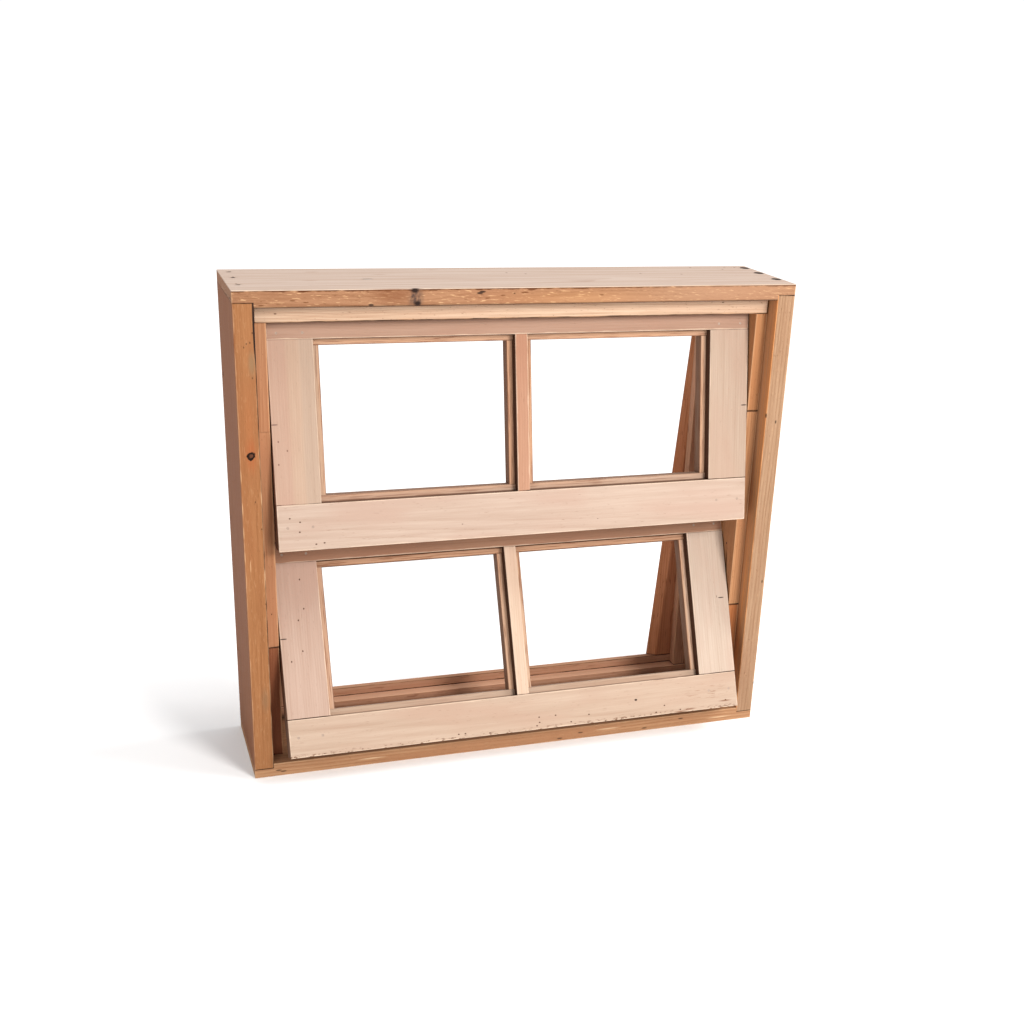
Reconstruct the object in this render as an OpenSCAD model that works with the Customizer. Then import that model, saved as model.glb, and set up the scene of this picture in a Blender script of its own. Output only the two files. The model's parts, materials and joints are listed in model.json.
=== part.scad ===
// Timber window: a nailed box frame that carries two sashes, one above the
// other. Each sash turns on a pair of steel pins a little above its middle,
// so that its top leans into the frame while its deep bottom rail swings out.
//
// Millimetres, +Z up. X runs along the width, -Y is the outside face and +Y
// the room side. The origin is the middle of the underside of the sill.

/* [Box frame] */
// Overall width of the frame
frame_w = 700; // [560:1:900]
// Overall height of the frame
frame_h = 613; // [520:1:760]
// Depth of the boards, front to back
frame_d = 152; // [140:1:200]
// Thickness of the two upright boards
jamb_t = 24; // [22:0.5:32]
// Thickness of the top board
head_t = 20; // [18:0.5:32]
// Thickness of the bottom board
sill_t = 18; // [16:0.5:32]
// How deep the jambs are let into the head and the sill
housing = 6.5; // [3:0.5:10]

/* [Outside stops] */
// From the outside face of the frame back to the side stops
stop_set_back = 24; // [10:0.5:40]
// Width of the side stops, measured across the window
stop_w = 15.5; // [10:0.5:25]
// Depth of the side stops, front to back
stop_d = 40; // [30:1:60]
// Drop from each pivot to the cut across the side stops
stop_cut_drop = 6; // [5.5:0.5:12]
// Height of the stop under the head
head_stop_h = 20; // [10:0.5:30]
// Depth of the stop under the head
head_stop_d = 28; // [15:1:40]
// How far the head stop stands in front of the side stops
head_stop_proud = 3; // [0:0.5:8]
// Gap left at each end of the head stop
head_stop_gap = 2.5; // [0.5:0.5:5]

/* [Room side lining] */
// Thickness of the lining boards
lining_t = 9; // [6:0.5:14]
// Height of the lining boards on the sill and under the head
lining_h = 26.5; // [18:0.5:40]
// Width of each side lining board at its top end
lining_top_w = 42; // [20:1:60]
// Width of each side lining board at its bottom end
lining_foot_w = 79; // [40:1:110]
// How far the free edge of a side board is planed back on its front face
lining_bevel = 13; // [2:0.5:20]
// Thickness and height of the battens in front of the lining
batten_t = 15; // [10:0.5:18]
// Width of the two upright battens
batten_side_w = 44; // [20:1:60]

/* [Sashes] */
// Thickness of both sashes
sash_t = 28; // [24:0.5:36]
// Gap between a sash and the stop on each side
side_gap = 1.5; // [1:0.1:4]
// Gap between the closed lower sash and the sill
foot_gap = 5; // [3:0.5:10]
// Gap between the two sashes when both are closed
meeting_gap = 4; // [3:0.5:8]
// Gap between the closed upper sash and the head stop
crown_gap = 2; // [1.5:0.5:8]
// From the top edge of a sash down to its pivot
pivot_drop = 120; // [90:1:150]
// Width of the face of each stile
stile_w = 54; // [40:1:70]
// Width of the face of each glazing bar
bar_w = 16; // [12:0.5:30]
// Height of the face of the upper sash's top rail
upper_top_rail_h = 22; // [20:1:50]
// Height of the face of the upper sash's bottom rail
upper_bottom_rail_h = 56; // [35:1:80]
// Height of the face of the lower sash's top rail
lower_top_rail_h = 27; // [20:1:50]
// Height of the face of the lower sash's bottom rail
lower_bottom_rail_h = 48; // [35:1:80]
// Width of the glazing rebate, which is also the width of the lip behind it
rebate_w = 8; // [5:0.5:12]
// Depth of the glazing rebate, from the front face
rebate_d = 12; // [8:0.5:14]
// How far the upper sash stands open, in degrees
upper_tilt = 9.4; // [0:0.1:38]
// How far the lower sash stands open, in degrees
lower_tilt = 23.6; // [0:0.1:38]

/* [Joints and fixings] */
// Thickness of the tenons
tenon_t = 9; // [6:0.5:12]
// Wood left between a mortise and the outer edge of its rail
mortise_margin = 10; // [6:0.5:12]
// From the outer edge of a stile to its tenon
tenon_inset = 8; // [4:0.5:14]
// Slack between a tenon and its mortise, on each side
tenon_slack = 0.1; // [0.05:0.05:0.3]
// Diameter of the pivot pins
pin_d = 8; // [6:0.5:10]
// Length of a pivot pin inside the stile
pin_in_stile = 30; // [20:1:36]
// Length of a pivot pin inside the jamb
pin_in_jamb = 14; // [8:0.5:18]
// Slack all round a pivot pin where it turns
pin_slack = 0.05; // [0.02:0.01:0.09]
// Shank diameter of the frame nails
nail_d = 3; // [2:0.1:4]
// Length of the frame nails
nail_l = 55; // [40:1:80]
// Shank diameter of the brads
brad_d = 1.8; // [1.2:0.1:2.4]
// Slack all round a nail or brad in its hole
nail_slack = 0.05; // [0.02:0.01:0.1]

/* [Hidden] */
$fn = 48;

// Cutters run this far past the face that they open
over = 1;

// Frame planes
front_y = -frame_d / 2;
back_y = frame_d / 2;
head_z = frame_h - head_t;
jamb_x = frame_w / 2 - jamb_t;
jamb_foot_z = sill_t - housing;
jamb_top_z = head_z + housing;
stop_y = front_y + stop_set_back;
stop_x = jamb_x - stop_w;
head_stop_z = head_z - head_stop_h;

// Lining planes
lining_y = back_y - lining_t;
batten_y = lining_y - batten_t;
lining_foot_z = sill_t + lining_h;
lining_crown_z = head_z - lining_h;
batten_foot_z = sill_t + batten_t;
batten_crown_z = head_z - batten_t;

// Both sashes share the height between the sill and the head stop
sash_w = 2 * (stop_x - side_gap);
sash_h = (head_stop_z - sill_t - foot_gap - meeting_gap - crown_gap) / 2;
pivot_rise = sash_h - pivot_drop;
pivot_y = stop_y + sash_t / 2;
lower_pivot_z = sill_t + foot_gap + pivot_rise;
upper_pivot_z = lower_pivot_z + pivot_drop + meeting_gap + pivot_rise;
lip_t = sash_t - rebate_d;
tenon_y = rebate_d + (lip_t - tenon_t) / 2;
tenon_w = stile_w - 2 * tenon_inset;

// Fixings
nail_head_d = 2.2 * nail_d;
nail_head_t = 1.4;
nail_sunk = 0.4;
nail_depths = [0.26, 0.59, 0.87];
brad_head_d = 1.8 * brad_d;
brad_head_t = 0.8;
brad_sunk = 0.2;
stop_brad_l = 33;
lining_brad_l = lining_t + 0.8 * batten_t;
sash_brad_l = tenon_y + 0.75 * tenon_t;
sash_brad_spread = 0.56 * stile_w;
sash_brad_reach = 0.6;

// Heights of the nails and brads in the uprights
batten_nail_zs = [for (k = [0.2, 0.5, 0.8]) frame_h * k];
lining_brad_zs = [for (k = [0.15, 0.44, 0.73]) frame_h * k];
cut_zs = [sill_t, lower_pivot_z - stop_cut_drop,
    upper_pivot_z - stop_cut_drop, head_stop_z];

// Colours
tan_timber = [0.80, 0.56, 0.36];
pale_timber = [0.90, 0.77, 0.66];
stop_timber = [0.83, 0.63, 0.45];
dark_timber = [0.50, 0.30, 0.19];
steel = [0.42, 0.40, 0.38];

// ---- Fixings -------------------------------------------------------------

// A nail that points along +Z, with the top of its head on the origin.
// Slack makes it the cutter for its own hole.
module nail(d, l, head_d, head_t, slack = 0) {
    rotate_extrude()
        polygon([[0, 0], [head_d / 2 + slack, 0],
            [head_d / 2 + slack, head_t + slack],
            [d / 2 + slack, head_t + slack],
            [d / 2 + slack, l + slack], [0, l + slack]]);
}

// The same nail with a clear way out above its head, to be cut away
module nail_hole(d, l, head_d, head_t) {
    nail(d, l, head_d, head_t, nail_slack);
    translate([0, 0, -over - nail_sunk])
        cylinder(d = head_d + 2 * nail_slack, h = over + nail_sunk + 0.01);
}

module frame_nail(hole = false) {
    if (hole) nail_hole(nail_d, nail_l, nail_head_d, nail_head_t);
    else nail(nail_d, nail_l, nail_head_d, nail_head_t);
}

module brad(l, hole = false) {
    if (hole) nail_hole(brad_d, l, brad_head_d, brad_head_t);
    else nail(brad_d, l, brad_head_d, brad_head_t);
}

// Three nails down through the head and three up through the sill, into
// the middle of each jamb
module frame_nail_set(hole = false) {
    for (side = [-1, 1], k = nail_depths) {
        translate([side * (jamb_x + jamb_t / 2), front_y + k * frame_d, 0]) {
            translate([0, 0, frame_h - nail_sunk]) mirror([0, 0, 1]) frame_nail(hole);
            translate([0, 0, nail_sunk]) frame_nail(hole);
        }
    }
}

// Nails from the outside of each jamb into the edge of its batten
module batten_nail_set(hole = false) {
    for (side = [-1, 1], z = batten_nail_zs)
        translate([side * (frame_w / 2 - nail_sunk), batten_y + batten_t / 2, z])
            rotate([0, -90 * side, 0]) frame_nail(hole);
}

// Brads from the room side through each lining board into its batten
module lining_brad_set(hole = false) {
    for (side = [-1, 1], z = lining_brad_zs)
        translate([side * (jamb_x - lining_top_w / 2), back_y - brad_sunk, z])
            rotate([90, 0, 0]) brad(lining_brad_l, hole);
    for (k = [-1, 0, 1], z = [sill_t + batten_t / 2, head_z - batten_t / 2])
        translate([k * frame_w / 4, back_y - brad_sunk, z])
            rotate([90, 0, 0]) brad(lining_brad_l, hole);
}

// Brads through the side stops into the jambs, and up through the head stop
module stop_brad_set(hole = false) {
    for (side = [-1, 1], i = [0, 1, 2], k = [0.3, 0.7])
        translate([side * (stop_x + brad_sunk), stop_y + 0.6 * stop_d,
            cut_zs[i] + k * (cut_zs[i + 1] - cut_zs[i])])
            rotate([0, 90 * side, 0]) brad(stop_brad_l, hole);
    for (k = [-0.4, -0.13, 0.13, 0.4])
        translate([k * frame_w, stop_y - head_stop_proud + head_stop_d / 2,
            head_stop_z + brad_sunk])
            brad(stop_brad_l, hole);
}

// ---- Box frame -----------------------------------------------------------

module head() {
    color(tan_timber)
        difference() {
            translate([-frame_w / 2, front_y, head_z]) cube([frame_w, frame_d, head_t]);
            for (side = [0, 1])
                mirror([side, 0, 0])
                    translate([jamb_x, front_y - over, head_z - over])
                        cube([jamb_t + over, frame_d + 2 * over, housing + over]);
            frame_nail_set(true);
            stop_brad_set(true);
        }
}

module sill() {
    color(tan_timber)
        difference() {
            translate([-frame_w / 2, front_y, 0]) cube([frame_w, frame_d, sill_t]);
            for (side = [0, 1])
                mirror([side, 0, 0])
                    translate([jamb_x, front_y - over, jamb_foot_z])
                        cube([jamb_t + over, frame_d + 2 * over, housing + over]);
            frame_nail_set(true);
        }
}

// Upright board, drilled blind from the inside for the pivot pins
module jamb(side) {
    color(tan_timber)
        difference() {
            translate([side > 0 ? jamb_x : -frame_w / 2, front_y, jamb_foot_z])
                cube([jamb_t, frame_d, jamb_top_z - jamb_foot_z]);
            pin_holes(side, jamb_x - over, pin_in_jamb + over);
            frame_nail_set(true);
            batten_nail_set(true);
            stop_brad_set(true);
        }
}

module jamb_left() jamb(-1);
module jamb_right() jamb(1);

// Bores for the pins of both sashes on one side, from x outwards
module pin_holes(side, x, l) {
    for (z = [lower_pivot_z, upper_pivot_z])
        translate([side * x, pivot_y, z])
            rotate([0, 90 * side, 0]) cylinder(d = pin_d + 2 * pin_slack, h = l);
}

// ---- Outside stops -------------------------------------------------------

module head_stop() {
    color(pale_timber)
        difference() {
            translate([-jamb_x + head_stop_gap, stop_y - head_stop_proud, head_stop_z])
                cube([2 * (jamb_x - head_stop_gap), head_stop_d, head_stop_h]);
            stop_brad_set(true);
        }
}

// One length of a side stop: i is 0 for the bottom, 1 the middle, 2 the top
module side_stop(side, i) {
    color(stop_timber)
        difference() {
            translate([side > 0 ? stop_x : -jamb_x, stop_y, cut_zs[i]])
                cube([stop_w, stop_d, cut_zs[i + 1] - cut_zs[i]]);
            pin_holes(side, stop_x - over, stop_w + 2 * over);
            stop_brad_set(true);
        }
}

module stop_left_top() side_stop(-1, 2);
module stop_left_middle() side_stop(-1, 1);
module stop_left_bottom() side_stop(-1, 0);
module stop_right_top() side_stop(1, 2);
module stop_right_middle() side_stop(1, 1);
module stop_right_bottom() side_stop(1, 0);

// ---- Room side lining ----------------------------------------------------

module level_lining(z) {
    color(dark_timber)
        difference() {
            translate([-jamb_x, lining_y, z]) cube([2 * jamb_x, lining_t, lining_h]);
            lining_brad_set(true);
        }
}

module lining_bottom() level_lining(sill_t);
module lining_top() level_lining(lining_crown_z);

// Upright board that widens to its foot, with its free edge planed to a bevel
module side_lining(side) {
    h = lining_crown_z - lining_foot_z;
    taper = atan((lining_foot_w - lining_top_w) / h);
    bevel = atan(lining_bevel / lining_t);
    reach = 2 * lining_foot_w;
    color(dark_timber)
        difference() {
            mirror([side > 0 ? 1 : 0, 0, 0])
                translate([-jamb_x, back_y, lining_foot_z])
                    difference() {
                        translate([0, -lining_t, 0]) cube([lining_foot_w, lining_t, h]);
                        translate([lining_foot_w, 0, 0])
                            rotate([0, -taper, 0]) rotate([0, 0, -bevel])
                                translate([0, -reach, -reach])
                                    cube([reach, 2 * reach, h + 2 * reach]);
                    }
            lining_brad_set(true);
        }
}

module lining_left() side_lining(-1);
module lining_right() side_lining(1);

module level_batten(z) {
    color(dark_timber)
        difference() {
            translate([-jamb_x, batten_y, z]) cube([2 * jamb_x, batten_t, batten_t]);
            lining_brad_set(true);
        }
}

module batten_bottom() level_batten(sill_t);
module batten_top() level_batten(batten_crown_z);

module side_batten(side) {
    color(dark_timber)
        difference() {
            translate([side > 0 ? jamb_x - batten_side_w : -jamb_x, batten_y, batten_foot_z])
                cube([batten_side_w, batten_t, batten_crown_z - batten_foot_z]);
            lining_brad_set(true);
            batten_nail_set(true);
        }
}

module batten_left() side_batten(-1);
module batten_right() side_batten(1);

module frame_nails() color(steel) frame_nail_set();
module batten_nails() color(steel) batten_nail_set();
module lining_brads() color(steel) lining_brad_set();
module stop_brads() color(steel) stop_brad_set();

// ---- Sashes --------------------------------------------------------------
// A sash is drawn upright with its pivot on the origin: X across, y from 0
// at its front face to sash_t at its back, z up. This puts it in the frame.

module in_frame(pivot_z, tilt) {
    translate([0, pivot_y, pivot_z])
        rotate([-tilt, 0, 0])
            translate([0, -sash_t / 2, 0])
                children();
}

// Length of the tenons that enter a rail, past the edge of its face
function tenon_l(face_h) = face_h - mortise_margin;

// One mortise, centred on x and cut down from the lip of a rail
module mortise(x, w, face_h) {
    wide = w + 2 * tenon_slack;
    z = mortise_margin - tenon_slack;
    translate([x - wide / 2, tenon_y - tenon_slack, z])
        cube([wide, tenon_t + 2 * tenon_slack, face_h + rebate_w + over - z]);
}

// Mortises for two stiles and the bar
module mortises(face_h) {
    for (side = [-1, 1])
        mortise(side * (sash_w - stile_w) / 2, tenon_w, face_h);
    mortise(0, bar_w, face_h);
}

// Two brads near each end of a rail, from the front into the stile's tenon
module rail_brads(face_h, hole = false) {
    for (side = [-1, 1], k = [-0.5, 0.5])
        translate([side * (sash_w - stile_w) / 2 + k * sash_brad_spread, brad_sunk,
            face_h - sash_brad_reach * tenon_l(face_h)])
            rotate([-90, 0, 0]) brad(sash_brad_l, hole);
}

// A rail lying on z = 0 with its lip upwards
module rail(face_h) {
    difference() {
        translate([-sash_w / 2, 0, 0]) cube([sash_w, sash_t, face_h + rebate_w]);
        translate([-sash_w / 2 - over, -over, face_h])
            cube([sash_w + 2 * over, rebate_d + over, rebate_w + over]);
        mortises(face_h);
        rail_brads(face_h, true);
    }
}

// Puts what is drawn for a rail lying on z = 0 at the bottom of a sash
module at_bottom() translate([0, 0, -pivot_rise]) children();

// Puts it upside down at the top of a sash
module at_top() translate([0, 0, pivot_drop]) mirror([0, 0, 1]) children();

// An upright between two rails. Its face stands on z = 0 from x = 0 to w,
// with a lip on each side asked for and a tenon into each rail.
module upright(w, top_h, bottom_h, lip_left, lip_right, inset) {
    x = -lip_left;
    full = w + lip_left + lip_right;
    h = sash_h - top_h - bottom_h;
    difference() {
        translate([x, 0, 0]) cube([full, sash_t, h]);
        translate([x - over, -over, -over]) cube([lip_left + over, rebate_d + over, h + 2 * over]);
        translate([w, -over, -over]) cube([lip_right + over, rebate_d + over, h + 2 * over]);
        for (z = [-over, h - rebate_w])
            translate([x - over, rebate_d, z])
                cube([full + 2 * over, lip_t + over, rebate_w + over]);
    }
    translate([inset, tenon_y, -tenon_l(bottom_h)])
        cube([w - 2 * inset, tenon_t, h + tenon_l(bottom_h) + tenon_l(top_h)]);
}

// Stile on the right hand side; the left one is its mirror image
module stile(side, top_h, bottom_h) {
    mirror([side > 0 ? 0 : 1, 0, 0])
        difference() {
            translate([sash_w / 2 - stile_w, 0, bottom_h - pivot_rise])
                upright(stile_w, top_h, bottom_h, rebate_w, 0, tenon_inset);
            translate([sash_w / 2 - pin_in_stile, sash_t / 2, 0])
                rotate([0, 90, 0]) cylinder(d = pin_d, h = pin_in_stile + over);
            at_bottom() rail_brads(bottom_h, true);
            at_top() rail_brads(top_h, true);
        }
}

module bar(top_h, bottom_h) {
    translate([-bar_w / 2, 0, bottom_h - pivot_rise])
        upright(bar_w, top_h, bottom_h, rebate_w, rebate_w, 0);
}

module pins() {
    l = pin_in_stile + side_gap + stop_w + pin_in_jamb - over;
    for (side = [0, 1])
        mirror([side, 0, 0])
            translate([sash_w / 2 - pin_in_stile, sash_t / 2, 0])
                rotate([0, 90, 0]) cylinder(d = pin_d, h = l);
}

module upper() in_frame(upper_pivot_z, upper_tilt) children();
module lower() in_frame(lower_pivot_z, lower_tilt) children();

module upper_top_rail()
    color(pale_timber) upper() at_top() rail(upper_top_rail_h);
module upper_bottom_rail()
    color(pale_timber) upper() at_bottom() rail(upper_bottom_rail_h);
module upper_stile_left()
    color(pale_timber) upper() stile(-1, upper_top_rail_h, upper_bottom_rail_h);
module upper_stile_right()
    color(pale_timber) upper() stile(1, upper_top_rail_h, upper_bottom_rail_h);
module upper_glazing_bar()
    color(pale_timber) upper() bar(upper_top_rail_h, upper_bottom_rail_h);
module upper_brads()
    color(steel) upper() {
        at_top() rail_brads(upper_top_rail_h);
        at_bottom() rail_brads(upper_bottom_rail_h);
    }
module upper_pivot_pins()
    color(steel) upper() pins();

module lower_top_rail()
    color(pale_timber) lower() at_top() rail(lower_top_rail_h);
module lower_bottom_rail()
    color(pale_timber) lower() at_bottom() rail(lower_bottom_rail_h);
module lower_stile_left()
    color(pale_timber) lower() stile(-1, lower_top_rail_h, lower_bottom_rail_h);
module lower_stile_right()
    color(pale_timber) lower() stile(1, lower_top_rail_h, lower_bottom_rail_h);
module lower_glazing_bar()
    color(pale_timber) lower() bar(lower_top_rail_h, lower_bottom_rail_h);
module lower_brads()
    color(steel) lower() {
        at_top() rail_brads(lower_top_rail_h);
        at_bottom() rail_brads(lower_bottom_rail_h);
    }
module lower_pivot_pins()
    color(steel) lower() pins();

head();
sill();
jamb_left();
jamb_right();
head_stop();
stop_left_top();
stop_left_middle();
stop_left_bottom();
stop_right_top();
stop_right_middle();
stop_right_bottom();
lining_bottom();
lining_top();
lining_left();
lining_right();
batten_bottom();
batten_top();
batten_left();
batten_right();
frame_nails();
batten_nails();
lining_brads();
stop_brads();
upper_top_rail();
upper_bottom_rail();
upper_stile_left();
upper_stile_right();
upper_glazing_bar();
upper_brads();
upper_pivot_pins();
lower_top_rail();
lower_bottom_rail();
lower_stile_left();
lower_stile_right();
lower_glazing_bar();
lower_brads();
lower_pivot_pins();
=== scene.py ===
# %% [markdown]
# # A small timber window with two tilting sashes
#
# This lesson dresses a finished mechanical model. The model comes from a CAD program
# and holds every board, nail and pin at its true size. Blender adds what CAD leaves out:
# softened edges, grain, knots, stains and light.
#
# The model is loaded first, and its shapes are never changed. Each board gets a detailed
# copy that takes its place and moves with the same body, so both sashes still swing.

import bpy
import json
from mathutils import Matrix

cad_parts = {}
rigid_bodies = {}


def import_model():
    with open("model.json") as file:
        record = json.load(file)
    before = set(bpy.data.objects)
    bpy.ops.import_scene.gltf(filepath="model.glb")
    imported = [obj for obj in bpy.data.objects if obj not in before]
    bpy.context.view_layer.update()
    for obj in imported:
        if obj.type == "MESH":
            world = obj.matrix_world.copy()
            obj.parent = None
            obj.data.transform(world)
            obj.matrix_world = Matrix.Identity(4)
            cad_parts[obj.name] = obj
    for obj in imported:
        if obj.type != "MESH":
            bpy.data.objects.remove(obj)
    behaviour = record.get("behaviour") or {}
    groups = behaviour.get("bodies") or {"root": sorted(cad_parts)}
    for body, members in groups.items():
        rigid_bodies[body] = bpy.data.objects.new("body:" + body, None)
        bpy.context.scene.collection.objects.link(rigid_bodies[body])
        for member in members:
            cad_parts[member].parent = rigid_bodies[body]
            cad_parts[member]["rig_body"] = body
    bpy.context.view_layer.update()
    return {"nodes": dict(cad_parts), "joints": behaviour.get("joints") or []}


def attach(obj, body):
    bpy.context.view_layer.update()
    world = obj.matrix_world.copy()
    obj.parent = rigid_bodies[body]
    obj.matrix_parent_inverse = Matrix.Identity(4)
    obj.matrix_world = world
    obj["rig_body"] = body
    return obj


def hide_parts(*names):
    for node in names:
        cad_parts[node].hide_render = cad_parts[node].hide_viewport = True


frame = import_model()

# %% [markdown]
# ## Units and sash positions
#
# Blender works in metres, but joiners think in millimetres. One constant turns one into
# the other. The sashes stand open at rest, and each leans by the angle that its joint
# can still close, so the lean is read from the joint and not typed in.

# %% Read where each sash turns and how far it leans
import json
import math
import random

import bpy
from mathutils import Matrix, Vector
from mathutils.bvhtree import BVHTree

MM = 0.001
scene = bpy.context.scene

sash_pivot = {}
sash_lean = {}
for joint in frame["joints"]:
    sash_pivot[joint["child"]] = Vector(joint["pos_m"])
    sash_lean[joint["child"]] = math.radians(-joint["range_deg"][0])
    print(joint["child"], "leans", round(-joint["range_deg"][0], 1), "degrees")

# %% [markdown]
# ## Camera
#
# The window is seen from its left, from above, with the camera tilted a little to one
# side. A lens near 48 mm on a 36 mm sensor keeps the perspective gentle. A small lens
# shift frames the window without turning the camera.

# %% Place the camera
EYE_PLACE = (-0.511, -1.6294, 0.8737)
TURNED_RIGHT = 20.2
LOOKING_DOWN = 22.59
TILTED = 2.71

eye = bpy.data.objects.new("eye", bpy.data.cameras.new("eye"))
scene.collection.objects.link(eye)
scene.camera = eye
eye.location = EYE_PLACE
turn = Matrix.Rotation(math.radians(-TURNED_RIGHT), 3, "Z")
dip = Matrix.Rotation(math.radians(90 - LOOKING_DOWN), 3, "X")
roll = Matrix.Rotation(math.radians(TILTED), 3, "Z")
eye.rotation_euler = (turn @ dip @ roll).to_euler()
eye.data.sensor_width = 36
eye.data.lens = 47.82
eye.data.shift_x = -0.0525
eye.data.shift_y = 0.1019
eye.data.clip_start = 0.05
eye.data.clip_end = 50
print("lens", round(eye.data.lens, 1), "mm")

# %% [markdown]
# ## Light
#
# A studio for still lifes is a white room: light comes from everywhere, and lamps add
# direction. Here a bright world makes the room. Its wall is brighter to the eye than as
# a lamp, so that the backdrop is pure white and the timber still has shade: the Light
# Path node tells a look from a bounce. A skylight high on the right lights the tops and
# draws the soft shadow to the left. It is a sun lamp with a wide angle, because a sun
# does not fade with distance. A wide front lamp, a little to the right, shows the
# faces. The Standard view keeps the colours as mixed.

# %% Build the white room
WALL_AS_LAMP = 0.74
WALL_TO_THE_EYE = 1.05

scene.view_settings.view_transform = "Standard"

room = bpy.data.worlds.new("white_room")
scene.world = room
room.use_nodes = True
room_light = room.node_tree.nodes["Background"]
room_light.inputs["Color"].default_value = (1.0, 1.0, 1.0, 1.0)
wall_seen = room.node_tree.nodes.new("ShaderNodeLightPath").outputs["Is Camera Ray"]
brightness = room.node_tree.nodes.new("ShaderNodeMapRange")
brightness.inputs["To Min"].default_value = WALL_AS_LAMP
brightness.inputs["To Max"].default_value = WALL_TO_THE_EYE
room.node_tree.links.new(wall_seen, brightness.inputs["Value"])
room.node_tree.links.new(brightness.outputs["Result"], room_light.inputs["Strength"])
print("the wall shines", WALL_AS_LAMP, "and looks", WALL_TO_THE_EYE)


# %% Hang the lamps
def hang_lamp(name, kind, place, target, power, colour):
    lamp = bpy.data.lights.new(name, kind)
    lamp.energy = power
    lamp.color = colour
    stand = bpy.data.objects.new(name, lamp)
    scene.collection.objects.link(stand)
    stand.location = place
    towards = Vector(target) - stand.location
    stand.rotation_euler = towards.to_track_quat("-Z", "Y").to_euler()
    print(name, power, "away", round(towards.length, 2), "m")
    return lamp


skylight = hang_lamp("skylight", "SUN", (1.5, -0.3, 1.7), (0, 0, 0), 2.2, (1, 1, 1))
skylight.angle = math.radians(30)
front_lamp = hang_lamp("front_lamp", "AREA", (0.9, -2.3, 1.5), (0, 0, 0.3), 72, (1, 0.985, 0.96))
front_lamp.shape = "DISK"
front_lamp.size = 0.9

# %% [markdown]
# ## Shader maths in plain Python
#
# A procedural material is a network of small nodes. Wiring them by hand takes many
# lines, so one small class holds a socket and lets Python operators add the Math nodes.
# With it, `1 - wear * 0.5` in the script is two nodes in the material.

# %% A class for values that travel between nodes
class Wire:
    """A value on its way from one node to the next."""

    def __init__(self, sheet, socket):
        self.sheet = sheet
        self.socket = socket

    def maths(self, operation, first, second=0.0):
        values = {0: first, 1: second}
        return self.sheet.node("ShaderNodeMath", {"operation": operation}, values)

    def __add__(self, other):
        return self.maths("ADD", self, other)

    def __radd__(self, other):
        return self.maths("ADD", other, self)

    def __sub__(self, other):
        return self.maths("SUBTRACT", self, other)

    def __rsub__(self, other):
        return self.maths("SUBTRACT", other, self)

    def __mul__(self, other):
        return self.maths("MULTIPLY", self, other)

    def __rmul__(self, other):
        return self.maths("MULTIPLY", other, self)

    def __truediv__(self, other):
        return self.maths("DIVIDE", self, other)

    def least(self, other):
        return self.maths("MINIMUM", self, other)

    def most(self, other):
        return self.maths("MAXIMUM", self, other)

    def below(self, other):
        return self.maths("LESS_THAN", self, other)

    def above(self, other):
        return self.maths("GREATER_THAN", self, other)

    def whole(self):
        return self.maths("FLOOR", self)

    def rest(self):
        return self.maths("FRACT", self)

    def root(self):
        return self.maths("SQRT", self)

    def size(self):
        return self.maths("ABSOLUTE", self)


# %% [markdown]
# ## A sheet of nodes
#
# `Sheet` is one material. Its `node` method adds any kind of node: first its settings,
# then its inputs, which may be numbers, colours or wires. The other methods are the few
# combinations that timber needs: stretched noise, a soft threshold, a mix of colours
# and a patch at a chosen place.

# %% A class for one material
class Sheet:
    """One material and the nodes on it."""

    def __init__(self, name):
        self.material = bpy.data.materials.new(name)
        self.material.use_nodes = True
        self.tree = self.material.node_tree
        self.shader = self.tree.nodes["Principled BSDF"]

    def node(self, kind, settings=None, inputs=None, out=0):
        made = self.tree.nodes.new(kind)
        for key, value in (settings or {}).items():
            setattr(made, key, value)
        for key, value in (inputs or {}).items():
            self.feed(made.inputs[key], value)
        return Wire(self, made.outputs[out])

    def feed(self, socket, value):
        if isinstance(value, Wire):
            self.tree.links.new(value.socket, socket)
        else:
            socket.default_value = value

    def scaled(self, place, size, shift=(0, 0, 0)):
        """Place divided by size, moved by shift."""
        share = [1 / s for s in size]
        return self.node(
            "ShaderNodeVectorMath",
            {"operation": "MULTIPLY_ADD"},
            {0: place, 1: share, 2: shift},
        )

    def noise(self, place, size, seed=0.0, detail=2.0):
        """Noise from -0.5 to 0.5 whose grains have this size in millimetres."""
        vector = self.scaled(place, size, (seed, seed * 1.7, seed * 0.6))
        values = {"Vector": vector, "Scale": 1.0, "Detail": detail, "Roughness": 0.5}
        return self.node("ShaderNodeTexNoise", None, values) - 0.5

    def soft(self, value, start, end):
        """0 below start, 1 above end, smooth between them."""
        settings = {"interpolation_type": "SMOOTHSTEP", "clamp": True}
        if start > end:
            values = {0: value, 1: end, 2: start, 3: 1.0, 4: 0.0}
        else:
            values = {0: value, 1: start, 2: end, 3: 0.0, 4: 1.0}
        return self.node("ShaderNodeMapRange", settings, values)

    def mix(self, share, first, second):
        """Two colours mixed by a share."""
        settings = {"data_type": "RGBA", "clamp_factor": True}
        return self.node("ShaderNodeMix", settings, {0: share, 6: first, 7: second}, 2)

    def patch(self, place, centre, reach, edge):
        """1 at centre and 0 outside an egg of this reach."""
        moved = self.node(
            "ShaderNodeVectorMath",
            {"operation": "SUBTRACT"},
            {0: place, 1: centre},
        )
        away = self.scaled(moved, reach)
        length = self.node("ShaderNodeVectorMath", {"operation": "LENGTH"}, {0: away}, 1)
        return self.soft(length, 1.0, edge)


# %% [markdown]
# ## Colours
#
# Colour pickers show colours as three numbers up to 255, but light is added up on
# another scale. This helper turns one into the other, so that the palette can be
# written in the familiar numbers.

# %% Turn picker colours into light
def tone(red, green, blue):
    """A picker colour on the scale that shaders use."""
    light = []
    for part in (red, green, blue):
        part = part / 255
        light.append(part / 12.92 if part <= 0.04045 else ((part + 0.055) / 1.055) ** 2.4)
    return (*light, 1.0)


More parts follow.
